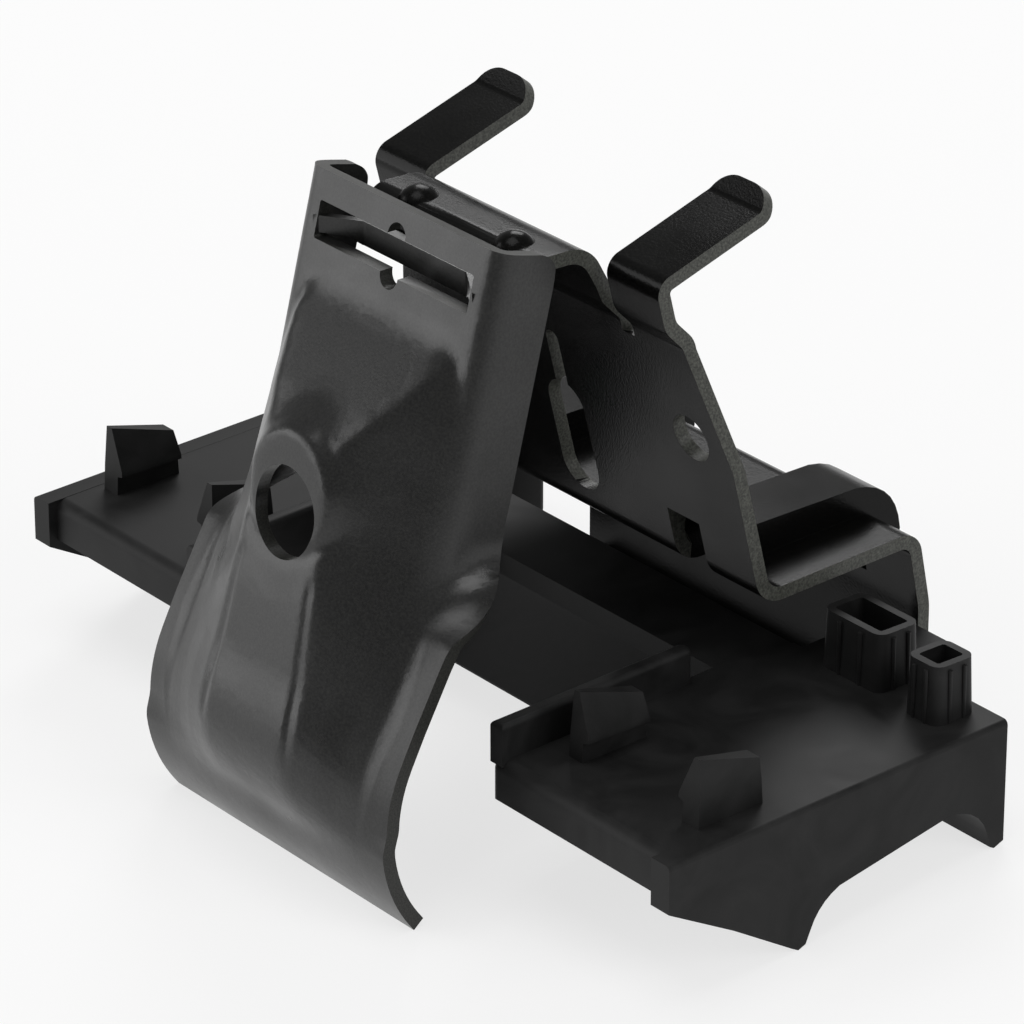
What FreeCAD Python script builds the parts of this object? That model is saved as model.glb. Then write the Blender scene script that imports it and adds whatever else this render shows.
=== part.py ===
import FreeCAD, Part
import math
import os

# Driving sizes in mm: pad
PAD_LENGTH = 167.6
PAD_DEPTH = 67.8
PAD_FRONT_TOP = 7.2
PAD_TOP_RISE = 0.035
PAD_LEG_TIP = (24.8, -16.5)
PAD_SKIRT_TIP = (65.8, -12.6)
PAD_ARCH_FRONT = (33.1, -7.9)
PAD_ARCH_BACK = (56.2, -3.5)
PAD_EDGE_R = 2.2
END_FLANGE = 4.3
END_PROUD = 1.6
END_DROP = 1.0
NOTCH_HALF = 38.6
BAR_FRONT = 44.5
BAR_BACK = 59.8
BAR_RIM = 4.0
BAR_SLOPE_BACK = 11.0
LUG_INNER = 44.0
LUG_WIDTH = 15.0
LUG_BACK = 78.5
BAND_DEPTH = 0.3
BAND_INSET = 1.2
WALL_THICK = 3.0
WALL_HIGH = 6.3
WALL_RUN = 39.0
WALL_ROUND = 1.3
PEG_START = 9.0
PEG_RUN = 13.0
PEG_HIGH = 11.7
PEG_DROP = 3.7
PEG_NECK = 3.4
PEG_IN = (47.0, 50.2)
PEG_OUT = (74.2, 78.0)
PEG_BARB = 1.2
SOCKET_HIGH = 10.2
SOCKET_WALL = 1.4
SOCKET_FLOOR = 1.5
SOCKET_TAPER = 0.3
SOCKET_ROUND = 1.9
SOCKET_WIDE = (50.0, 64.4, 58.0, 67.2)
SOCKET_NARROW = (70.4, 78.4, 57.4, 66.2)

# Driving sizes in mm: both brackets
SHEET = 2.4
LEAN = 0.25

# Driving sizes in mm: outer bracket
OUTER_TOP = (13.5, 83.2)
OUTER_KNEE = (0.4, 31.0)
OUTER_ROLL_START = (-12.6, 6.6)
OUTER_ROLL_R = 27.0
OUTER_ROLL_TURN = 67.6
OUTER_FLAT = 21.2
OUTER_BEND_R = 3.6
OUTER_FLANGE = 8.1
OUTER_LOW_HALF = 31.4
FLARE_TOP = 37.0
FLARE_LOW = 23.0
WINDOW_HALF = 19.4
WINDOW_TOP = 78.5
WINDOW_HIGH = 6.1
WINDOW_ROUND = 0.4
WINDOW_NOTCH_R = 2.2
BRIDGE_SET = 4.6
BRIDGE_HALF = 13.0
BRIDGE_GAP = 2.6
BRIDGE_HIGH = 2.9
BRIDGE_THICK = 1.8
FLANGE_ROUND = 3.5
BOSS_HIGH = 13.4
BOSS_Z = 38.0
BOSS_R = 10.5
BOSS_SLOPE = 1.4
HOLE_R = 7.5

# Driving sizes in mm: inner bracket
INNER_HALF = 41.8
INNER_NECK_HALF = 35.5
INNER_TAPER = (63.0, 43.0)
PRONG_IN = 23.1
PRONG_SPLIT = 64.6
RELIEF_LOW = 61.5
TAB_HALF = 20.15
TAB_REACH = 21.3
TAB_TOP = 76.6
TAB_NOSE = 71.5
ARM_TIP = (59.6, 84.7)
ARM_TURN = (57.0, 81.5)
ARM_ROOT = (36.4, 75.0)
JOG_TOP = (38.2, 68.0)
JOG_LOW = 64.2
PLATE_AT = (46.7, 45.0)
PLATE_FOOT = 19.2
SHELF_BACK = (84.8, 20.3)
LEG_KNEE = (87.4, 7.5)
TIP_ROUND = 4.6
STOCK = 120.0
LIP_REACH = 79.5
LEG_BOTTOM = -14.6
KEY_SLOT = 3.0
KEY_WIDE = 9.0
KEY_TOP = 54.0
KEY_MID = 44.5
KEY_LOW = 24.0
ROUND_HOLE_R = 4.15
ROUND_HOLE_AT = (32.5, 46.5)
BEAD_AT = 25.8
BEAD_HALF = 5.8
BEAD_HIGH = 5.0
BEAD_START = 32.0
BEAD_END = 6.5
BEAD_ROUND = 3.0
BUMP_AT = (12.0, 26.2)
BUMP_R = 3.8
BUMP_RISE = -0.8

# Placing sizes: how far each bracket stands off the pad, and the tilt at rest
OUTER_SLIDE = 5.08
INNER_SLIDE = 7.17
SLIDE_Y = -0.804
SLIDE_Z = 0.614

V = FreeCAD.Vector
X = V(1, 0, 0)
Y = V(0, 1, 0)
Z = V(0, 0, 1)


def box(x0, x1, y0, y1, z0, z1):
    return Part.makeBox(x1 - x0, y1 - y0, z1 - z0, V(x0, y0, z0))


def prismX(points, x0, x1):
    corners = [V(x0, p[0], p[1]) for p in points]
    wire = Part.makePolygon(corners + [corners[0]])
    return Part.Face(wire).extrude(V(x1 - x0, 0, 0))


def prismY(points, y0, y1):
    corners = [V(p[0], y0, p[1]) for p in points]
    wire = Part.makePolygon(corners + [corners[0]])
    return Part.Face(wire).extrude(V(0, y1 - y0, 0))


def prismZ(points, z0, z1):
    corners = [V(p[0], p[1], z0) for p in points]
    wire = Part.makePolygon(corners + [corners[0]])
    return Part.Face(wire).extrude(V(0, 0, z1 - z0))


def mirrored(shape):
    return shape.mirror(V(0, 0, 0), X)


def both(shape):
    return [shape, mirrored(shape)]


def rounded(shape, radius, pick):
    edges = [edge for edge in shape.Edges if pick(edge)]
    if not edges:
        return shape
    try:
        result = shape.makeFillet(radius, edges)
    except Exception:
        return shape
    if result.isValid() and result.Volume > 0:
        return result
    return shape


def along(edge, axis):
    ends = [vertex.Point for vertex in edge.Vertexes]
    if len(ends) < 2:
        return False
    line = ends[1] - ends[0]
    if line.Length < 1e-6:
        return False
    return abs(line.normalize().dot(axis)) > 0.999


def topZ(y):
    return PAD_FRONT_TOP + PAD_TOP_RISE * y


# Pad

def arcPoints(start, end, bulge, count):
    mid = ((start[0] + end[0]) / 2.0, (start[1] + end[1]) / 2.0)
    across = (end[1] - start[1], start[0] - end[0])
    points = []
    for i in range(1, count):
        t = i / float(count)
        push = 4.0 * bulge * t * (1.0 - t)
        x = start[0] + (end[0] - start[0]) * t + across[0] * push
        z = start[1] + (end[1] - start[1]) * t + across[1] * push
        points.append((x, z))
    return points


def padOutline(front, drop):
    back = PAD_DEPTH
    leg = PAD_LEG_TIP
    skirt = PAD_SKIRT_TIP
    points = [(front, topZ(0.0)), (front, -drop)]
    points.append((11.5, -8.3))
    points.append((leg[0] - 1.4, leg[1] + 0.8))
    points.append(leg)
    points.append((leg[0] + 1.5, leg[1] + 0.6))
    points += arcPoints((leg[0] + 1.9, leg[1] + 0.9), PAD_ARCH_FRONT, -0.13, 6)
    points.append(PAD_ARCH_FRONT)
    points.append(PAD_ARCH_BACK)
    points += arcPoints(PAD_ARCH_BACK, (skirt[0] - 1.0, skirt[1] + 0.6), -0.2, 6)
    points.append((skirt[0] - 0.9, skirt[1] + 0.5))
    points.append(skirt)
    points.append((back, skirt[1] + 0.8))
    points.append((back, topZ(back)))
    return points


def padBody():
    half = PAD_LENGTH / 2.0
    body = prismX(padOutline(0.0, 0.0), -half + END_FLANGE, half - END_FLANGE)
    for side in (-1, 1):
        a = side * (half - END_FLANGE)
        b = side * half
        body = body.fuse(prismX(padOutline(-END_PROUD, END_DROP), min(a, b), max(a, b)))
    return body.removeSplitter()


def padNotch():
    rim = topZ(BAR_FRONT) - BAR_RIM
    low = PAD_LEG_TIP[1] - 3.0
    backLow = BAR_FRONT - BAR_SLOPE_BACK
    outline = [(-5.0, 20.0), (BAR_FRONT, 20.0), (BAR_FRONT, rim), (BAR_FRONT - 0.8, rim - 1.0)]
    outline += [(backLow, PAD_ARCH_FRONT[1] + 0.4), (backLow, low), (-5.0, low)]
    return prismX(outline, -NOTCH_HALF, NOTCH_HALF)


def padRear():
    return box(-LUG_INNER, LUG_INNER, BAR_BACK, PAD_DEPTH + 5.0, -25.0, 25.0)


def padLug():
    low = PAD_ARCH_BACK[1] - 1.5
    outline = [(BAR_BACK + 1.0, low), (BAR_BACK + 1.0, topZ(BAR_BACK + 1.0))]
    outline += [(LUG_BACK, topZ(LUG_BACK)), (LUG_BACK, low + 1.0), (LUG_BACK - 1.0, low)]
    lug = prismX(outline, LUG_INNER, LUG_INNER + LUG_WIDTH)
    return rounded(lug, 1.5, lambda e: along(e, Z) and e.BoundBox.YMin > LUG_BACK - 0.1)


def padWall():
    inner = NOTCH_HALF + WALL_THICK
    low = topZ(0.0) - 1.0
    end = WALL_RUN
    outline = [(0.0, low), (0.0, topZ(0.0) + WALL_HIGH), (end, topZ(end) + WALL_HIGH), (end, low)]
    wall = prismX(outline, NOTCH_HALF, inner)
    wall = rounded(wall, WALL_ROUND, lambda e: along(e, Z) and e.BoundBox.YMin > end - 0.1)
    return rounded(wall, WALL_ROUND * 0.8, lambda e: e.BoundBox.ZMin > topZ(0.0) + WALL_HIGH - 0.5)


def padPeg(span, barb):
    x0, x1 = span
    y1 = PEG_START + PEG_RUN
    base = topZ(PEG_START)
    low = base - 0.5
    ridge = base + PEG_HIGH
    outline = [(PEG_START, low), (PEG_START + 0.6, ridge)]
    outline += [(y1 - 0.6, ridge + PEG_RUN * PAD_TOP_RISE - PEG_DROP), (y1, low)]
    neck = base + PEG_NECK
    if barb > 0:
        front = [(x0, low), (x1, low), (x1, neck), (x1 + PEG_BARB, neck + 0.3), (x1 + PEG_BARB, neck + 1.1)]
        front += [(x0 + 1.7, ridge + 0.2), (x0 + 0.5, ridge + 0.2), (x0, neck + 1.0)]
    else:
        front = [(x1, low), (x0, low), (x0, neck), (x0 - PEG_BARB, neck + 0.3), (x0 - PEG_BARB, neck + 1.1)]
        front += [(x1 - 1.7, ridge + 0.2), (x1 - 0.4, ridge + 0.2), (x1, neck + 1.0)]
    keep = prismX(outline, x0 - PEG_BARB - 1.0, x1 + PEG_BARB + 1.0)
    return prismY(front, PEG_START, y1).common(keep)


def socketBlock(span, grow, z0, z1, radius):
    x0, x1, y0, y1 = span
    taper = SOCKET_TAPER
    low = roundedPlan(x0 + grow, x1 - grow, y0 + grow, y1 - grow, z0, radius)
    inset = grow + taper
    high = roundedPlan(x0 + inset, x1 - inset, y0 + inset, y1 - inset, z1, radius)
    return Part.makeLoft([low, high], True, True)


def roundedPlan(x0, x1, y0, y1, z, r):
    r = min(r, (x1 - x0) / 2.5, (y1 - y0) / 2.5)
    k = r * (1.0 - math.sqrt(0.5))
    parts = [Part.makeLine(V(x0 + r, y0, z), V(x1 - r, y0, z))]
    parts.append(Part.Arc(V(x1 - r, y0, z), V(x1 - k, y0 + k, z), V(x1, y0 + r, z)).toShape())
    parts.append(Part.makeLine(V(x1, y0 + r, z), V(x1, y1 - r, z)))
    parts.append(Part.Arc(V(x1, y1 - r, z), V(x1 - k, y1 - k, z), V(x1 - r, y1, z)).toShape())
    parts.append(Part.makeLine(V(x1 - r, y1, z), V(x0 + r, y1, z)))
    parts.append(Part.Arc(V(x0 + r, y1, z), V(x0 + k, y1 - k, z), V(x0, y1 - r, z)).toShape())
    parts.append(Part.makeLine(V(x0, y1 - r, z), V(x0, y0 + r, z)))
    parts.append(Part.Arc(V(x0, y0 + r, z), V(x0 + k, y0 + k, z), V(x0 + r, y0, z)).toShape())
    return Part.Wire(parts)


def padBand():
    floor = topZ(BAR_FRONT) - BAND_DEPTH
    half = LUG_INNER - 2.0
    y0 = BAR_FRONT + BAND_INSET
    y1 = BAR_BACK + 1.0
    outline = [(y0, topZ(y0) - BAND_DEPTH), (y0, floor + 3.0), (y1, floor + 3.0), (y1, topZ(y1) - BAND_DEPTH)]
    return prismX(outline, -half, half)


def buildPad():
    half = PAD_LENGTH / 2.0
    body = padBody()
    body = rounded(body, PAD_EDGE_R, lambda e: along(e, X) and e.Length > 50.0
                   and abs(e.BoundBox.ZMax - topZ(0.0)) < 0.1 and e.BoundBox.YMax < 1.0)
    body = body.cut(padNotch())
    body = body.cut(padRear())
    body = rounded(body, 1.8, lambda e: along(e, Z) and abs(abs(e.BoundBox.XMin) - NOTCH_HALF) < 0.1
                   and e.BoundBox.YMax < 0.5)
    body = rounded(body, 0.9, lambda e: abs(abs(e.BoundBox.XMin) - half) < 0.01
                   and abs(abs(e.BoundBox.XMax) - half) < 0.01 and e.BoundBox.ZMin > topZ(0.0) - 0.3)
    body = body.fuse(both(padLug())).removeSplitter()
    body = body.cut(padBand())
    pieces = both(padWall()) + both(padPeg(PEG_IN, 1)) + both(padPeg(PEG_OUT, -1))
    for span in (SOCKET_WIDE, SOCKET_NARROW):
        base = topZ(span[2]) - 0.6
        pieces += both(socketBlock(span, 0.0, base, base + 0.6 + SOCKET_HIGH, SOCKET_ROUND))
    body = body.fuse(pieces)
    hollows = []
    for span in (SOCKET_WIDE, SOCKET_NARROW):
        base = topZ(span[2]) + SOCKET_FLOOR
        top = topZ(span[2]) + SOCKET_HIGH + 0.5
        hollows += both(socketBlock(span, SOCKET_WALL, base, top, SOCKET_ROUND - SOCKET_WALL))
    return body.cut(hollows).removeSplitter()


# Outer bracket

def mix(a, b, t):
    return a + (b - a) * t


def ease(t):
    t = max(0.0, min(1.0, t))
    return t * t * (3.0 - 2.0 * t)


def table(rows, at):
    if at >= rows[0][0]:
        return rows[0][1]
    for high, low in zip(rows, rows[1:]):
        if at >= low[0]:
            t = (high[0] - at) / (high[0] - low[0])
            return mix(high[1], low[1], t)
    return rows[-1][1]


# height along the plate against the stand-out of the pressed form
RISE = [(67.0, 0.0), (52.0, 9.2), (48.0, 11.3), (44.0, 11.6), (28.0, 11.2), (20.0, 9.3), (10.0, 6.3),
        (0.0, 4.5), (-4.0, 3.3), (-12.0, 0.0)]
RIDGE = [(67.0, 15.0), (64.0, 17.2), (62.0, 17.6), (48.0, 9.0), (28.0, 9.4), (10.0, 10.4), (-12.0, 10.4)]
FOOT = [(67.0, 17.0), (64.0, 19.0), (60.0, 20.6), (56.0, 22.0), (51.0, 22.8), (46.0, 23.2), (36.0, 24.6),
        (27.0, 26.0), (-12.0, 26.0)]


def pathPoint(s):
    # base line of the plate: straight, knee, steeper straight, then the roll
    top = OUTER_TOP
    knee = OUTER_KNEE
    roll = OUTER_ROLL_START
    first = math.hypot(knee[0] - top[0], knee[1] - top[1])
    second = math.hypot(roll[0] - knee[0], roll[1] - knee[1])
    a1 = math.atan2(knee[1] - top[1], knee[0] - top[0])
    a2 = math.atan2(roll[1] - knee[1], roll[0] - knee[0])
    soft = 5.0
    if s < first - soft:
        return top[0] + math.cos(a1) * s, top[1] + math.sin(a1) * s, a1
    if s < first + soft:
        t = (s - first + soft) / (2.0 * soft)
        angle = mix(a1, a2, t)
        p0 = (knee[0] - math.cos(a1) * soft, knee[1] - math.sin(a1) * soft)
        p2 = (knee[0] + math.cos(a2) * soft, knee[1] + math.sin(a2) * soft)
        x = (1 - t) ** 2 * p0[0] + 2 * t * (1 - t) * knee[0] + t * t * p2[0]
        z = (1 - t) ** 2 * p0[1] + 2 * t * (1 - t) * knee[1] + t * t * p2[1]
        return x, z, angle
    if s < first + second:
        d = s - first
        return knee[0] + math.cos(a2) * d, knee[1] + math.sin(a2) * d, a2
    turn = (s - first - second) / OUTER_ROLL_R
    cx = roll[0] - math.sin(a2) * OUTER_ROLL_R
    cz = roll[1] + math.cos(a2) * OUTER_ROLL_R
    a = a2 + turn
    return cx + math.sin(a) * OUTER_ROLL_R, cz - math.cos(a) * OUTER_ROLL_R, a


def pathLength():
    first = math.hypot(OUTER_KNEE[0] - OUTER_TOP[0], OUTER_KNEE[1] - OUTER_TOP[1])
    second = math.hypot(OUTER_ROLL_START[0] - OUTER_KNEE[0], OUTER_ROLL_START[1] - OUTER_KNEE[1])
    return first + second + math.radians(OUTER_ROLL_TURN) * OUTER_ROLL_R


def softMax(a, b, soft):
    gap = max(0.0, soft - abs(a - b))
    return max(a, b) + gap * gap / (4.0 * soft)


def standOut(z, h):
    rise = table(RISE, z)
    ridge = table(RIDGE, z)
    foot = table(FOOT, z)
    side = abs(h)
    t = (foot - side) / max(1.0, foot - ridge)
    form = rise * max(0.0, min(1.0, t))
    radius = math.hypot(side, z - BOSS_Z)
    crown = BOSS_HIGH - 0.17 * (BOSS_Z + BOSS_R - z)
    boss = crown - max(0.0, radius - BOSS_R) * BOSS_SLOPE
    if boss < -4.0:
        return form
    return softMax(form, boss, 1.5)


def skinPoint(s, k, depth):
    # k runs 0 to 1 on the flat, 1 to 2 through the bend, 2 to 3 along the flange
    y, z, a = pathPoint(s)
    side = -1.0 if k < 0 else 1.0
    k = abs(k)
    quarter = math.radians(90.0)
    bend = quarter * ease((z - FLARE_LOW) / (FLARE_TOP - FLARE_LOW))
    if s > pathLength() * 0.7:
        bend = 0.0
    arc = OUTER_BEND_R * bend
    straight = mix(OUTER_LOW_HALF - OUTER_FLAT, OUTER_FLANGE, bend / quarter)
    if s < FLANGE_ROUND:
        straight -= FLANGE_ROUND - math.sqrt(FLANGE_ROUND ** 2 - (FLANGE_ROUND - s) ** 2)
    share = OUTER_BEND_R * quarter / (OUTER_BEND_R * quarter + OUTER_FLANGE)
    total = arc + straight
    inner = OUTER_BEND_R - depth
    if k <= 1.0:
        h = OUTER_FLAT * k
        back = depth
        turn = 0.0
    else:
        go = total * share * (k - 1.0) if k < 2.0 else total * (share + (1.0 - share) * (k - 2.0))
        turn = min(bend, go / OUTER_BEND_R)
        rest = max(0.0, go - arc)
        h = OUTER_FLAT + inner * math.sin(turn) + math.cos(turn) * rest
        back = OUTER_BEND_R - inner * math.cos(turn) + math.sin(turn) * rest
    out = 0.0
    if s < pathLength() * 0.93:
        out = standOut(z, h) * math.cos(turn) ** 2
    push = back - out
    return V(side * h, y - math.sin(a) * push, z + math.cos(a) * push)


def columns():
    flat = [i / 11.0 for i in range(0, 12)]
    bend = [1.0 + i / 4.0 for i in range(1, 5)]
    flange = [2.0 + i / 3.0 for i in range(1, 4)]
    right = flat + bend + flange
    return [-k for k in reversed(right[1:])] + right


def rows():
    total = pathLength()
    count = 50
    early = [FLANGE_ROUND * t for t in (0.0, 0.08, 0.25, 0.5)]
    return early + [total * i / float(count) for i in range(1, count + 1)]


def skinGrid(depth):
    return [[skinPoint(s, k, depth) for k in columns()] for s in rows()]


def knotsFor(count, degree):
    spans = count - degree
    knots = [float(i) for i in range(spans + 1)]
    mults = [degree + 1] + [1] * (spans - 1) + [degree + 1]
    return knots, mults


def surfaceOf(grid):
    degU = min(3, len(grid) - 1)
    degV = min(3, len(grid[0]) - 1)
    knotsU, multsU = knotsFor(len(grid), degU)
    knotsV, multsV = knotsFor(len(grid[0]), degV)
    surface = Part.BSplineSurface()
    surface.buildFromPolesMultsKnots(grid, multsU, multsV, knotsU, knotsV, False, False, degU, degV)
    return surface.toShape()


def sheetSolid(front, back):
    faces = [surfaceOf(front), surfaceOf(back)]
    for i in (0, -1):
        faces.append(surfaceOf([front[i], back[i]]))
        faces.append(surfaceOf([[line[i] for line in front], [line[i] for line in back]]))
    sewn = Part.makeCompound(faces)
    sewn.sewShape()
    solid = Part.Solid(sewn.Shells[0])
    if solid.Volume < 0:
        solid.reverse()
    return solid


def windowCut():
    low = WINDOW_TOP - WINDOW_HIGH
    cut = box(-WINDOW_HALF, WINDOW_HALF, -10.0, 40.0, low, WINDOW_TOP)
    cut = rounded(cut, WINDOW_ROUND, lambda e: along(e, Y))
    for z in (low, WINDOW_TOP):
        cut = cut.fuse(Part.makeCylinder(WINDOW_NOTCH_R, 50.0, V(0, -10.0, z), Y))
    return cut


def plateY(z):
    return OUTER_TOP[0] + (z - OUTER_TOP[1]) * (OUTER_TOP[0] - OUTER_KNEE[0]) / (OUTER_TOP[1] - OUTER_KNEE[1])


def bridge():
    z1 = WINDOW_TOP - BRIDGE_GAP
    z0 = z1 - BRIDGE_HIGH
    mid = (z0 + z1) / 2.0
    y = plateY(mid)
    end = WINDOW_HALF + 0.8
    front = [(-end, y), (-BRIDGE_HALF, y + BRIDGE_SET), (BRIDGE_HALF, y + BRIDGE_SET), (end, y)]
    deep = BRIDGE_SET + BRIDGE_THICK
    back = [(end, y + BRIDGE_THICK), (BRIDGE_HALF - 0.6, y + deep)]
    back += [(-BRIDGE_HALF + 0.6, y + deep), (-end, y + BRIDGE_THICK)]
    return prismZ(front + back, z0, z1)


def buildOuter():
    sheet = sheetSolid(skinGrid(0.0), skinGrid(SHEET))
    sheet = sheet.cut(windowCut())
    y = plateY(BOSS_Z) - BOSS_HIGH
    axis = V(0, -1, 0.07).normalize()
    start = V(0, y, BOSS_Z) - axis * 12.0
    sheet = sheet.cut(Part.makeCylinder(HOLE_R, 30.0, start, axis))
    return sheet.fuse(bridge())


# Inner bracket

def strip(points, radii, thick, x0, x1):
    # a bent strip along a mid line with round bends
    sides = []
    for side in (0.5, -0.5):
        sides.append(stripSide(points, radii, side * thick))
    first = sides[0]
    second = sides[1]
    edges = list(first[2])
    edges.append(Part.makeLine(first[1], second[1]))
    edges += list(second[2])
    edges.append(Part.makeLine(first[0], second[0]))
    wire = Part.Wire(Part.__sortEdges__(edges))
    face = Part.Face(wire)
    solid = face.extrude(V(x1 - x0, 0, 0))
    solid.translate(V(x0, 0, 0))
    return solid


def stripSide(points, radii, off):
    vectors = [V(0, p[0], p[1]) for p in points]
    edges = []
    first = None
    last = None
    for i in range(len(vectors) - 1):
        a = vectors[i]
        b = vectors[i + 1]
        d = (b - a).normalize()
        n = V(0, -d.z, d.y)
        start = a
        end = b
        if i > 0:
            start = a + d * trim(vectors, radii, i)
        if i < len(vectors) - 2:
            end = b - d * trim(vectors, radii, i + 1)
        p = start + n * off
        q = end + n * off
        if first is None:
            first = p
        if last is not None and last.distanceToPoint(p) > 1e-6:
            edges.append(bendArc(vectors, radii, i, off, last, p))
        edges.append(Part.makeLine(p, q))
        last = q
    return first, last, edges


def trim(vectors, radii, i):
    d1 = (vectors[i] - vectors[i - 1]).normalize()
    d2 = (vectors[i + 1] - vectors[i]).normalize()
    angle = math.acos(max(-1.0, min(1.0, d1.dot(d2))))
    return radii[i] * math.tan(angle / 2.0)


def bendArc(vectors, radii, i, off, p, q):
    d1 = (vectors[i] - vectors[i - 1]).normalize()
    d2 = (vectors[i + 1] - vectors[i]).normalize()
    n1 = V(0, -d1.z, d1.y)
    turn = 1.0 if d1.y * d2.z - d1.z * d2.y > 0 else -1.0
    start = vectors[i] - d1 * trim(vectors, radii, i)
    centre = start + n1 * (turn * radii[i])
    radius = radii[i] - turn * off
    middle = (p + q) * 0.5 - centre
    return Part.Arc(p, centre + middle.normalize() * radius, q).toShape()


def plateMid(z):
    return PLATE_AT[0] - LEAN * (z - PLATE_AT[1])


def bodyStrip():
    top = [ARM_TIP, ARM_TURN, ARM_ROOT, JOG_TOP, (plateMid(JOG_LOW), JOG_LOW)]
    low = [(plateMid(PLATE_FOOT), PLATE_FOOT), SHELF_BACK, LEG_KNEE]
    low += [(LEG_KNEE[0], LEG_BOTTOM), (LIP_REACH, LEG_BOTTOM)]
    radii = [0, 3.0, 1.9, 4.0, 4.0, 4.4, 3.4, 12.0, 3.4, 0]
    return strip(top + low, radii, SHEET, -INNER_HALF, INNER_HALF)


def tabStrip():
    start = RELIEF_LOW - 0.5
    points = [(plateMid(start), start), (plateMid(JOG_LOW), JOG_LOW), JOG_TOP]
    points += [(JOG_TOP[0] - 1.0, JOG_TOP[1] + 2.4), (JOG_TOP[0] - 4.4, TAB_TOP)]
    points += [(TAB_REACH + 2.6, TAB_TOP + 0.2), (TAB_REACH, TAB_NOSE)]
    radii = [0, 3.0, 2.6, 3.0, 6.0, 3.0, 0]
    return strip(points, radii, SHEET, -TAB_HALF, TAB_HALF)


def outlineMask():
    wide = INNER_HALF + 3.0
    side = [(INNER_NECK_HALF, STOCK), (INNER_NECK_HALF, INNER_TAPER[0]), (INNER_HALF, INNER_TAPER[1])]
    side += [(wide, INNER_TAPER[1]), (wide, STOCK)]
    return prismY(side, 0.0, STOCK)


def keyhole():
    slot = KEY_SLOT / 2.0
    wide = KEY_WIDE / 2.0
    cut = box(-slot, slot, 20.0, 70.0, KEY_MID - 2.0, KEY_TOP - slot)
    cut = cut.fuse(Part.makeCylinder(slot, 50.0, V(0, 20.0, KEY_TOP - slot), Y))
    cut = cut.fuse(box(-wide, wide, 20.0, 60.0, KEY_LOW + wide, KEY_MID - wide))
    for z in (KEY_LOW + wide, KEY_MID - wide):
        cut = cut.fuse(Part.makeCylinder(wide, 40.0, V(0, 20.0, z), Y))
    return cut


def beadProfile(off):
    # outer line of the rib in side view, drawn in by off, closed through the sheet
    shelf = SHELF_BACK[1] + SHEET / 2.0
    top = shelf + BEAD_HIGH - off
    back = LEG_KNEE[0] + SHEET / 2.0 + BEAD_HIGH * 0.5 - off
    start = BEAD_START - off * 1.2
    front = plateMid(BEAD_START) + SHEET / 2.0 - 0.3
    end = BEAD_END + off
    points = [(front, start), (front + 2.6, start - 3.0), (front + 7.0, top), (back - 10.0, top)]
    points += arcPoints((back - 10.0, top), (back, top - 10.0), -0.2, 7)
    points += [(back, top - 10.0), (LEG_KNEE[0] + SHEET * 0.4, end)]
    return points


def bead():
    inner = [(LEG_KNEE[0], BEAD_END + 2.0), (SHELF_BACK[0] - 1.0, SHELF_BACK[1] - 0.4)]
    inner += [(plateMid(PLATE_FOOT) + 2.0, PLATE_FOOT + 1.0), (plateMid(BEAD_START - 4.0), BEAD_START - 4.0)]
    rib = prismX(beadProfile(0.0) + inner, BEAD_AT - BEAD_HALF, BEAD_AT + BEAD_HALF)
    sides = (BEAD_AT - BEAD_HALF, BEAD_AT + BEAD_HALF)
    return rounded(rib, BEAD_ROUND, lambda e: outerRun(e, sides))


def outerRun(edge, sides):
    # long edges of the rib's top, not those inside the sheet
    box = edge.BoundBox
    if box.XLength > 0.01 or min(abs(box.XMin - side) for side in sides) > 0.01:
        return False
    high = SHELF_BACK[1] + SHEET / 2.0 + 1.0
    return box.ZMin > high or box.YMin > LEG_KNEE[0] + SHEET / 2.0 - 0.2


def beadHollow():
    outline = beadProfile(SHEET * 0.9)
    outline += [(LEG_KNEE[0] - SHEET, BEAD_END + 3.5), (SHELF_BACK[0] - 3.0, SHELF_BACK[1] - 3.0)]
    outline += [(plateMid(PLATE_FOOT) - 4.0, PLATE_FOOT - 5.0)]
    outline += [(plateMid(BEAD_START - 4.0) - 3.0, BEAD_START - 3.5)]
    half = BEAD_HALF - SHEET * 0.8
    return prismX(outline, BEAD_AT - half, BEAD_AT + half)


def buildInner():
    body = bodyStrip()
    for mask in both(outlineMask()):
        body = body.cut(mask)
    body = body.cut(box(-PRONG_IN, PRONG_IN, 0.0, STOCK, RELIEF_LOW, STOCK))
    tip = V(0, ARM_TIP[0], ARM_TIP[1])
    body = rounded(body, TIP_ROUND, lambda e: abs(e.Length - SHEET) < 0.01
                   and (V(0, e.CenterOfMass.y, e.CenterOfMass.z) - tip).Length < 0.3)
    body = body.fuse(tabStrip())
    body = body.cut(keyhole())
    x, z = ROUND_HOLE_AT
    for side in (-1, 1):
        normal = V(0, 1, LEAN).normalize()
        start = V(side * x, plateMid(z), z) - normal * 10.0
        body = body.cut(Part.makeCylinder(ROUND_HOLE_R, 20.0, start, normal))
    for side in (-1, 1):
        low = TAB_TOP + SHEET / 2.0 - 0.6
        bump = Part.makeSphere(BUMP_R, V(side * BUMP_AT[0], BUMP_AT[1], TAB_TOP + BUMP_RISE))
        body = body.fuse(bump.common(box(-TAB_HALF, TAB_HALF, 0.0, STOCK, low, STOCK)))
    body = body.fuse(both(bead()))
    body = body.cut(both(beadHollow()))
    return body.removeSplitter()


# Placing

def restTilt():
    rise = PAD_SKIRT_TIP[1] - PAD_LEG_TIP[1]
    run = PAD_SKIRT_TIP[0] - PAD_LEG_TIP[0]
    return math.degrees(math.atan2(rise, run))


def placed(shape, slide):
    shape = shape.copy()
    shape.translate(V(slide, slide * SLIDE_Y, slide * SLIDE_Z))
    shape.rotate(V(0, 0, 0), X, -restTilt())
    low = min(p.z for p in shape.tessellate(0.05)[0])
    return shape, low


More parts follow.
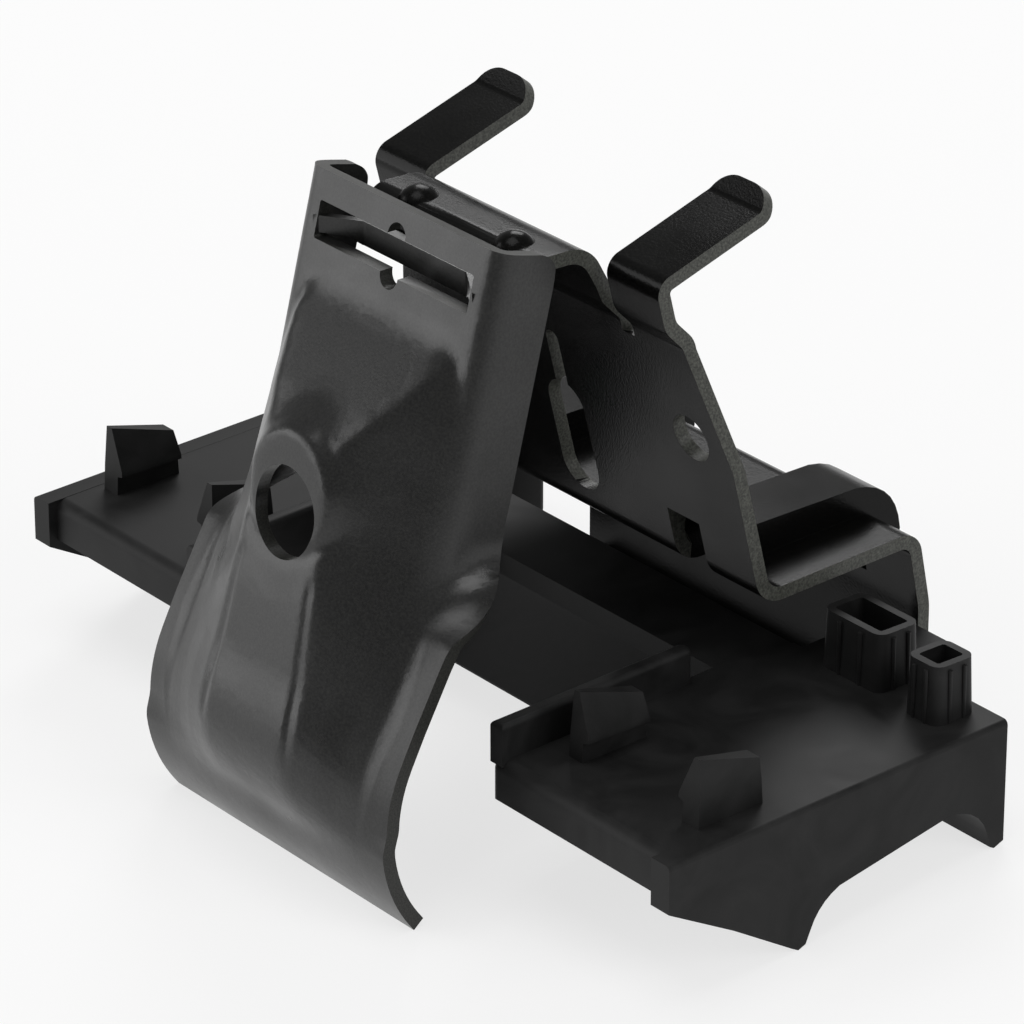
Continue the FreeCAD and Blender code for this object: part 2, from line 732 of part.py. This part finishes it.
def main():
    os.makedirs("parts", exist_ok=True)
    pieces = [("foot_pad", buildPad(), 0.0)]
    pieces.append(("outer_bracket", buildOuter(), OUTER_SLIDE))
    pieces.append(("inner_bracket", buildInner(), INNER_SLIDE))
    ready = []
    for name, shape, slide in pieces:
        shape, low = placed(shape, slide)
        print(name, "valid", shape.isValid(), "solids", len(shape.Solids), "low", round(low, 3))
        shape.translate(V(0, 0, -low))
        ready.append((name, shape))
    ys = [p.y for name, shape in ready for p in shape.tessellate(0.05)[0]]
    middle = (min(ys) + max(ys)) / 2.0
    for name, shape in ready:
        shape.translate(V(0, -middle, 0))
        shape.exportStep("parts/" + name + ".step")
    print("middle", round(middle, 3), "depth", round(max(ys) - min(ys), 2))


main()
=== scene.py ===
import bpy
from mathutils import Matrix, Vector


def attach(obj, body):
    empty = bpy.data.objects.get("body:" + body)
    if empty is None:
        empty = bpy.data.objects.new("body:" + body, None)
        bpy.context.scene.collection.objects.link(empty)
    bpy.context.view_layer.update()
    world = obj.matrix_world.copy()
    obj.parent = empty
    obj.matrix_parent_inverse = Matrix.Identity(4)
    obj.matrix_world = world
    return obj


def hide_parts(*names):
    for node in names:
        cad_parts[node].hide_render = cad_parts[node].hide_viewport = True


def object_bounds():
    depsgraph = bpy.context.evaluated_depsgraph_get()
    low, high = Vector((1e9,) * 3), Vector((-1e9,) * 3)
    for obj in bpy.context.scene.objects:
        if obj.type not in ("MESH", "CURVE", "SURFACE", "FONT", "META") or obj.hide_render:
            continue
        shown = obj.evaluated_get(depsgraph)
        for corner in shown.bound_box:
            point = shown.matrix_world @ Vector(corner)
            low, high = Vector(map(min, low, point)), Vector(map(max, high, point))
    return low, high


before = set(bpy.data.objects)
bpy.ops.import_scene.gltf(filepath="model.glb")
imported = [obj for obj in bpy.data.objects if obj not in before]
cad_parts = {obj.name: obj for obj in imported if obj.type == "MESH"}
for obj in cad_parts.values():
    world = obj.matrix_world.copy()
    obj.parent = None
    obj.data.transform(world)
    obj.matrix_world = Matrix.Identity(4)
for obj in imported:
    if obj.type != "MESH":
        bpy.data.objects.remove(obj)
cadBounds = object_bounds()
import math
import bmesh
import bpy
from mathutils import Matrix, Vector
from mathutils.bvhtree import BVHTree

mm = 0.001

# camera
shot = {"turn": 51.2, "down": 25.6, "tilt": -5.4328, "lens": 210.94, "sensor": 36.0,
        "place": (685.36, -515.67, 445.56), "middle": 31.926, "lift": 18.774,
        "slideY": -0.804, "slideZ": 0.614, "sight": 10}

# mending a copied mesh, in mm, and the start of a ray just inside its face
mend = {"weld": 0.004, "sliver": 0.002, "inset": 0.02}


def nodeCopy(node, name):
    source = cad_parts[node]
    mesh = source.data.copy()
    bm = bmesh.new()
    bm.from_mesh(mesh)
    bmesh.ops.remove_doubles(bm, verts=bm.verts, dist=mend["weld"] * mm)
    bmesh.ops.dissolve_degenerate(bm, edges=bm.edges, dist=mend["sliver"] * mm)
    bm.to_mesh(mesh)
    bm.free()
    mesh.name = name
    mesh.materials.clear()
    piece = bpy.data.objects.new(name, mesh)
    bpy.context.scene.collection.objects.link(piece)
    return piece


def smoothBy(piece, degrees):
    for poly in piece.data.polygons:
        poly.use_smooth = True
    bm = bmesh.new()
    bm.from_mesh(piece.data)
    limit = math.radians(degrees)
    for edge in bm.edges:
        edge.smooth = len(edge.link_faces) == 2 and edge.calc_face_angle(0) < limit
    bm.to_mesh(piece.data)
    bm.free()


def cutEdges(piece, thick, steelAndSheenSlot, slide, pressed):
    # faces whose far side is further off than the sheet is thick are sheared edges; they take the lighter
    # edge material, partly the bare steel's own tone and partly a painted highlight along the rims
    bm = bmesh.new()
    bm.from_mesh(piece.data)
    bm.faces.ensure_lookup_table()
    tree = BVHTree.FromBMesh(bm)
    for face in bm.faces:
        start = face.calc_center_median() - face.normal * mend["inset"] * mm
        hit = tree.ray_cast(start, -face.normal)
        if hit[3] is None or hit[3] > thick:
            place = drawn(face.calc_center_median(), slide)
            inside = any(abs(place.x) < half and y0 < place.y < y1 and z0 < place.z < z1
                         and face.normal.z > up for half, y0, y1, z0, z1, up in pressed)
            if not inside:
                face.material_index = steelAndSheenSlot
    bm.to_mesh(piece.data)
    bm.free()


def newMaterial(name):
    material = bpy.data.materials.new(name)
    material.use_nodes = True
    nodes = material.node_tree.nodes
    return material, nodes, material.node_tree.links, nodes["Principled BSDF"]


def laidOut(point, slide):
    # from a piece's own drawing, in mm, to its place in the frame
    turn = math.radians(-shot["tilt"])
    y = point[1] + slide * shot["slideY"]
    z = point[2] + slide * shot["slideZ"]
    return Vector((point[0] + slide, y * math.cos(turn) + z * math.sin(turn) - shot["middle"],
                   z * math.cos(turn) - y * math.sin(turn) + shot["lift"])) * mm


def drawn(place, slide):
    # the same way back
    turn = math.radians(-shot["tilt"])
    y = place.y / mm + shot["middle"]
    z = place.z / mm - shot["lift"]
    return Vector((place.x / mm - slide, y * math.cos(turn) - z * math.sin(turn) - slide * shot["slideY"],
                   y * math.sin(turn) + z * math.cos(turn) - slide * shot["slideZ"]))


def table(rows, at):
    if at >= rows[0][0]:
        return rows[0][1]
    for high, low in zip(rows, rows[1:]):
        if at >= low[0]:
            return high[1] + (low[1] - high[1]) * (high[0] - at) / (high[0] - low[0])
    return rows[-1][1]


def fade(value, start, end):
    t = max(0.0, min(1.0, (value - start) / (end - start)))
    return t * t * (3 - 2 * t)


def grain(nodes, links, coords, scale, detail):
    noise = nodes.new("ShaderNodeTexNoise")
    noise.inputs["Scale"].default_value = scale
    noise.inputs["Detail"].default_value = detail
    links.new(coords.outputs["Object"], noise.inputs["Vector"])
    return noise


def ramp(nodes, links, source, low, high, colours):
    node = nodes.new("ShaderNodeValToRGB")
    node.color_ramp.elements[0].position = low
    node.color_ramp.elements[1].position = high
    node.color_ramp.elements[0].color = (*colours[0], 1)
    node.color_ramp.elements[1].color = (*colours[1], 1)
    links.new(source, node.inputs["Fac"])
    return node


def bump(nodes, links, height, strength, distance, shader):
    node = nodes.new("ShaderNodeBump")
    node.inputs["Strength"].default_value = strength
    node.inputs["Distance"].default_value = distance
    links.new(height, node.inputs["Height"])
    links.new(node.outputs["Normal"], shader.inputs["Normal"])


# what both brackets' coats share
coating = {"detail": 3.0, "spread": (0.35, 0.72), "cloudDetail": 2.0, "cloudSpread": (0.3, 0.7),
           "depth": 0.05}


def coatMaterial(name, look):
    material, nodes, links, shader = newMaterial(name)
    coords = nodes.new("ShaderNodeTexCoord")
    fine = grain(nodes, links, coords, look["fleck"], coating["detail"])
    colour = ramp(nodes, links, fine.outputs["Fac"], *coating["spread"], (look["dark"], look["pale"]))
    links.new(colour.outputs["Color"], shader.inputs["Base Color"])
    cloud = grain(nodes, links, coords, look["cloud"], coating["cloudDetail"])
    rough = nodes.new("ShaderNodeMapRange")
    rough.inputs["From Min"].default_value = coating["cloudSpread"][0]
    rough.inputs["From Max"].default_value = coating["cloudSpread"][1]
    rough.inputs["To Min"].default_value = look["rough"][0]
    rough.inputs["To Max"].default_value = look["rough"][1]
    links.new(cloud.outputs["Fac"], rough.inputs["Value"])
    links.new(rough.outputs["Result"], shader.inputs["Roughness"])
    shader.inputs["Metallic"].default_value = look["metal"]
    shader.inputs["Specular IOR Level"].default_value = look["shine"]
    bump(nodes, links, fine.outputs["Fac"], look["bump"], coating["depth"] * mm, shader)
    return material


# foot pad
pad = {"name": "footPad", "edge": 0.55, "edgeFrom": 40, "angle": 34,
       "colour": ((0.0075, 0.0075, 0.0075), (0.021, 0.021, 0.021)), "rough": (0.44, 0.66),
       "shine": 0.2, "swirl": 55.0, "swirlDetail": 6.0, "swirlTwist": 2.6, "swirlSpread": (0.3, 0.75),
       "grain": 2600.0, "grainDetail": 2.0, "bump": 0.12, "bumpDepth": 0.04,
       "topZ": (7.2, 0.035), "socketHigh": 10.2, "ribR": 0.38, "ribSink": 0.1, "ribShare": 0.33,
       "ribSides": 10, "ribLow": 0.3, "ribTop": 0.9,
       "sockets": ((50.0, 64.4, 58.0, 67.2), (70.4, 78.4, 57.4, 66.2))}


def rubberMaterial(look):
    material, nodes, links, shader = newMaterial("padRubber")
    coords = nodes.new("ShaderNodeTexCoord")
    swirl = grain(nodes, links, coords, look["swirl"], look["swirlDetail"])
    swirl.inputs["Distortion"].default_value = look["swirlTwist"]
    colour = ramp(nodes, links, swirl.outputs["Fac"], *look["swirlSpread"], look["colour"])
    links.new(colour.outputs["Color"], shader.inputs["Base Color"])
    rough = nodes.new("ShaderNodeMapRange")
    rough.inputs["To Min"].default_value = look["rough"][0]
    rough.inputs["To Max"].default_value = look["rough"][1]
    links.new(swirl.outputs["Fac"], rough.inputs["Value"])
    links.new(rough.outputs["Result"], shader.inputs["Roughness"])
    shader.inputs["Specular IOR Level"].default_value = look["shine"]
    fine = grain(nodes, links, coords, look["grain"], look["grainDetail"])
    bump(nodes, links, fine.outputs["Fac"], look["bump"], look["bumpDepth"] * mm, shader)
    return material


def addRib(bm, x, y, low, high):
    sides = pad["ribSides"]
    radius = pad["ribR"]
    ring = []
    for z in (low, high):
        row = []
        for i in range(sides):
            turn = math.tau * i / sides
            place = (x + radius * math.cos(turn), y + radius * math.sin(turn), z)
            row.append(bm.verts.new(laidOut(place, 0)))
        ring.append(row)
    for i in range(sides):
        j = (i + 1) % sides
        bm.faces.new((ring[0][i], ring[0][j], ring[1][j], ring[1][i]))
    bm.faces.new(list(reversed(ring[0])))
    bm.faces.new(ring[1])


def socketRibs(piece):
    bm = bmesh.new()
    bm.from_mesh(piece.data)
    sink = pad["ribSink"]
    for x0, x1, y0, y1 in pad["sockets"]:
        base = pad["topZ"][0] + pad["topZ"][1] * y0
        low = base - pad["ribLow"]
        high = base + pad["socketHigh"] - pad["ribTop"]
        wide = (x1 - x0) * pad["ribShare"]
        deep = (y1 - y0) * pad["ribShare"]
        for side in (-1, 1):
            for x, y in ((x0 + wide, y0 + sink), (x1 - wide, y0 + sink), (x0 + sink, y0 + deep),
                         (x0 + sink, y1 - deep), (x1 - sink, y0 + deep), (x1 - sink, y1 - deep)):
                addRib(bm, side * x, y, low, high)
    bm.to_mesh(piece.data)
    bm.free()


def softEdges(piece, width, degrees):
    bevel = piece.modifiers.new("softEdge", "BEVEL")
    bevel.width = width * mm
    bevel.segments = 2
    bevel.limit_method = "ANGLE"
    bevel.angle_limit = math.radians(degrees)
    bevel.harden_normals = True


def buildPad():
    piece = nodeCopy("foot_pad", pad["name"])
    socketRibs(piece)
    piece.data.materials.append(rubberMaterial(pad))
    smoothBy(piece, pad["angle"])
    softEdges(piece, pad["edge"], pad["edgeFrom"])
    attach(piece, "root")
    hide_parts("foot_pad")
    print("foot pad", len(piece.data.polygons))


# outer bracket
outer = {"name": "outerBracket", "thick": 3.4, "angle": 40, "slide": 5.08, "pressed": (),
         "soft": 0.3, "softFrom": 50,
         "coat": {"fleck": 2400.0, "cloud": 90.0, "metal": 0.0, "shine": 0.5, "bump": 0.3,
                  "dark": (0.006, 0.006, 0.006), "pale": (0.018, 0.018, 0.017), "rough": (0.27, 0.36)},
         # the edge look, lighter than the coat, is partly bare sheared steel and partly a painted highlight
         # along the rims
         "edge": {"fleck": 3400.0, "cloud": 90.0, "metal": 0.0, "shine": 0.3, "bump": 0.16,
                  "dark": (0.016, 0.016, 0.015), "pale": (0.044, 0.045, 0.04), "rough": (0.34, 0.46)}}

# inner bracket: pressed are boxes round its beads and domes, whose upper faces keep the coat
inner = {"name": "innerBracket", "thick": 3.4, "angle": 40, "slide": 7.17,
         "pressed": ((34, 54.5, 95, -20, 34, -0.6), (17, 20, 34, 75.5, 82, 0.2)),
         "soft": 0.3, "softFrom": 50,
         "coat": {"fleck": 2500.0, "cloud": 80.0, "metal": 0.0, "shine": 0.12, "bump": 0.6,
                  "dark": (0.0012, 0.0012, 0.0012), "pale": (0.0055, 0.0055, 0.005), "rough": (0.18, 0.27)},
         # the inner edge look, far lighter than its coat, is partly bare sheared steel and partly a painted
         # highlight along the rims
         "edge": {"fleck": 2600.0, "cloud": 80.0, "metal": 0.0, "shine": 0.3, "bump": 0.2,
                  "dark": (0.03, 0.031, 0.027), "pale": (0.105, 0.108, 0.094), "rough": (0.36, 0.5)}}

# the outer bracket's pressed lines, in mm of its own drawing: a row is a height and a distance to the side
press = {"slide": 5.08, "top": (13.5, 83.2), "knee": (0.4, 31.0), "roll": (-12.6, 6.6),
         "rollR": 27.0, "kneeSoft": 6.0, "cell": (0.8, 0.9), "wide": 30, "reach": (-9.0, 69.0),
         "ease": (5.0, 2.5, 0.5), "hole": 38.0, "ring": (9.4, 11.2, 0.3), "ringLine": (11.9, 1.0, 0.2),
         "groove": ((24, 8.9), (12, 9.9), (0, 10.9)), "grooveSize": (0.9, 0.34),
         "grooveEnds": (-2.0, 4.0, 23.0, 26.0),
         "curve": ((29, 22.2), (24, 19.0), (16, 17.4), (8, 17.0), (-1, 16.6)), "curveTurn": 0.06,
         "curveWide": 4.0, "curveEnd": (26.0, 30.0),
         "rim": ((25, 27.0), (18, 27.8), (12, 28.4), (4, 27.4), (-3, 26.6), (-9, 25.4)), "rimTurn": 0.14,
         "rimEnd": (22.0, 26.0)}

# the bar across its window: which points are lowered, and by how much
bar = {"flat": 13.0, "end": 15.4, "behind": 14.3, "under": 73.6, "band": 1.2, "drop": 1.2}


def onLine(start, end, y, z):
    dy = end[0] - start[0]
    dz = end[1] - start[1]
    size = math.hypot(dy, dz)
    along = ((y - start[0]) * dy + (z - start[1]) * dz) / size
    return Vector((start[0] + dy * along / size, start[1] + dz * along / size, dz / size, -dy / size))


def onRoll(y, z):
    # the roll carries on as an arc from the last straight stretch
    knee, roll, radius = press["knee"], press["roll"], press["rollR"]
    begin = math.atan2(roll[1] - knee[1], roll[0] - knee[0])
    midY = roll[0] - math.sin(begin) * radius
    midZ = roll[1] + math.cos(begin) * radius
    turn = math.atan2(y - midY, midZ - z)
    if turn < begin:
        return onLine(knee, roll, y, z)
    outY = math.sin(turn)
    outZ = -math.cos(turn)
    return Vector((midY + outY * radius, midZ + outZ * radius, outY, outZ))


def pressBase(y, z):
    # nearest point of the plate's base line and the way out of the plate there, blended over the knee
    above = onLine(press["top"], press["knee"], y, z)
    below = onRoll(y, z)
    soft = press["kneeSoft"]
    share = fade((above[1] + below[1]) / 2, press["knee"][1] + soft, press["knee"][1] - soft)
    return above.lerp(below, share)


def pressLines(h, z):
    # ring about the hole, two grooves, the curved crease and the turned rim
    side = abs(h)
    far = math.hypot(side, z - press["hole"])
    innerEdge, outerEdge, high = press["ring"]
    add = high * (1 - fade(far, innerEdge, outerEdge))
    line, wide, deep = press["ringLine"]
    add -= deep * math.exp(-((far - line) / wide) ** 2)
    if far > outerEdge:
        wide, deep = press["grooveSize"]
        start, full, easing, end = press["grooveEnds"]
        reach = fade(z, start, full) * (1 - fade(z, easing, end))
        add -= deep * reach * math.exp(-((side - table(press["groove"], z)) / wide) ** 2)
    curve = table(press["curve"], z)
    turned = max(0.0, min(press["curveWide"], side - curve))
    add -= press["curveTurn"] * turned * (1 - fade(z, *press["curveEnd"]))
    rim = table(press["rim"], z)
    add -= press["rimTurn"] * max(0.0, side - rim) * (1 - fade(z, *press["rimEnd"]))
    return add


def cutIntoCells(bm):
    # finer faces for the lines to bend
    wide = press["wide"]
    low, high = press["reach"]
    cellH, cellZ = press["cell"]
    cuts = []
    for i in range(int(2 * wide / cellH)):
        cuts.append((Vector((i * cellH - wide, 0, 0)), Vector((1, 0, 0))))
    for i in range(int((high - low) / cellZ)):
        cuts.append((Vector((0, 0, low + i * cellZ)), Vector((0, 0, 1))))
    for place, normal in cuts:
        whole = bm.verts[:] + bm.edges[:] + bm.faces[:]
        bmesh.ops.bisect_plane(bm, geom=whole, plane_co=place, plane_no=normal)


def pressDetail(piece):
    bm = bmesh.new()
    bm.from_mesh(piece.data)
    for vert in bm.verts:
        vert.co = drawn(vert.co, press["slide"])
    cutIntoCells(bm)
    low, high = press["reach"]
    easeLow, easeHigh, flatTop = press["ease"]
    for vert in bm.verts:
        h, y, z = vert.co
        if abs(h) < bar["end"] and y > bar["behind"] and bar["under"] - bar["band"] < z < bar["under"]:
            vert.co.z = z - bar["drop"] * (1 - fade(abs(h), bar["flat"], bar["end"]))
        if not low < z < high:
            continue
        baseZ, outY, outZ = pressBase(y, z)[1:]
        keep = fade(baseZ, low, low + easeLow) * (1 - fade(baseZ, high - easeHigh, high - flatTop))
        move = keep * pressLines(h, baseZ)
        vert.co = Vector((h, y + outY * move, z + outZ * move))
    front = min(corner[1] for corner in cadBounds)
    for vert in bm.verts:
        vert.co = laidOut(vert.co, press["slide"])
        vert.co.y = max(vert.co.y, front)  # points past the solid's front go back onto it
    bm.to_mesh(piece.data)
    bm.free()
    print("press detail", len(piece.data.polygons))


def buildBracket(node, look):
    piece = nodeCopy(node, look["name"])
    piece.data.materials.append(coatMaterial(look["name"] + "Coat", look["coat"]))
    # second slot: the lighter edge look, partly bare steel and partly a painted highlight on the sheared
    # rims
    piece.data.materials.append(coatMaterial(look["name"] + "Edge", look["edge"]))
    edgeSteelAndSheenSlot = 1
    cutEdges(piece, look["thick"] * mm, edgeSteelAndSheenSlot, look["slide"], look["pressed"])
    if look is outer:
        pressDetail(piece)
    smoothBy(piece, look["angle"])
    softEdges(piece, look["soft"], look["softFrom"])
    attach(piece, "root")
    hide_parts(node)
    print(look["name"], len(piece.data.polygons))


# floor, lights, camera
studio = {"floor": (0.95, 0.95, 0.95), "size": 3.0, "rough": 0.8, "glow": 0.72, "world": 0.27,
          "aim": (0, 0, 0.04),
          "lights": (("key", (-0.78, -0.86, 0.4), 0.9, 5.8), ("side", (1.0, 0.25, 0.6), 0.6, 3.6),
                     ("top", (0.0, -0.1, 1.2), 0.7, 3.8),
                     ("back", (-0.62, 0.72, 0.72), 0.5, 4.2))}


def buildStudio():
    mesh = bpy.data.meshes.new("floor")
    bm = bmesh.new()
    bmesh.ops.create_grid(bm, x_segments=1, y_segments=1, size=studio["size"])
    bm.to_mesh(mesh)
    bm.free()
    floor = bpy.data.objects.new("floor", mesh)
    bpy.context.scene.collection.objects.link(floor)
    material, nodes, links, shader = newMaterial("floorPale")
    shader.inputs["Base Color"].default_value = (*studio["floor"], 1)
    shader.inputs["Roughness"].default_value = studio["rough"]
    glow = nodes.new("ShaderNodeEmission")
    ray = nodes.new("ShaderNodeLightPath")
    seen = nodes.new("ShaderNodeMath")
    seen.operation = "MAXIMUM"
    clear = nodes.new("ShaderNodeMath")
    clear.operation = "MAXIMUM"
    share = nodes.new("ShaderNodeMath")
    share.operation = "MULTIPLY"
    share.inputs[1].default_value = studio["glow"]
    blend = nodes.new("ShaderNodeMixShader")
    links.new(ray.outputs["Is Camera Ray"], seen.inputs[0])
    links.new(ray.outputs["Is Glossy Ray"], seen.inputs[1])
    links.new(seen.outputs["Value"], clear.inputs[0])
    links.new(ray.outputs["Is Transmission Ray"], clear.inputs[1])
    links.new(clear.outputs["Value"], share.inputs[0])
    links.new(share.outputs["Value"], blend.inputs["Fac"])
    links.new(shader.outputs["BSDF"], blend.inputs[1])
    links.new(glow.outputs["Emission"], blend.inputs[2])
    links.new(blend.outputs["Shader"], nodes["Material Output"].inputs["Surface"])
    mesh.materials.append(material)
    print("floor")
    world = bpy.data.worlds.new("studio")
    world.use_nodes = True
    world.node_tree.nodes["Background"].inputs["Color"].default_value = (1, 1, 1, 1)
    world.node_tree.nodes["Background"].inputs["Strength"].default_value = studio["world"]
    bpy.context.scene.world = world
    for name, place, size, power in studio["lights"]:
        data = bpy.data.lights.new(name, "AREA")
        data.energy = power
        data.size = size
        light = bpy.data.objects.new(name, data)
        light.location = place
        toward = Vector(studio["aim"]) - light.location
        light.rotation_euler = toward.to_track_quat("-Z", "Y").to_euler()
        bpy.context.scene.collection.objects.link(light)
    print("lights", len(studio["lights"]))


def buildCamera():
    tilt = Matrix.Rotation(math.radians(shot["tilt"]), 4, "X")
    turn = Matrix.Rotation(math.radians(shot["turn"]), 4, "Z")
    nod = Matrix.Rotation(math.radians(90 - shot["down"]), 4, "X")
    place = tilt @ Vector(shot["place"]) + Vector((0, -shot["middle"], shot["lift"]))
    data = bpy.data.cameras.new("camera")
    data.lens = shot["lens"]
    data.sensor_width = shot["sensor"]
    data.clip_end = shot["sight"]
    camera = bpy.data.objects.new("camera", data)
    camera.matrix_world = Matrix.Translation(place * mm) @ tilt @ turn @ nod
    bpy.context.scene.collection.objects.link(camera)
    bpy.context.scene.camera = camera
    print("camera", tuple(round(c, 4) for c in camera.matrix_world.translation))


buildPad()
buildBracket("outer_bracket", outer)
buildBracket("inner_bracket", inner)
buildStudio()
buildCamera()
bpy.context.scene.view_settings.view_transform = "Standard"
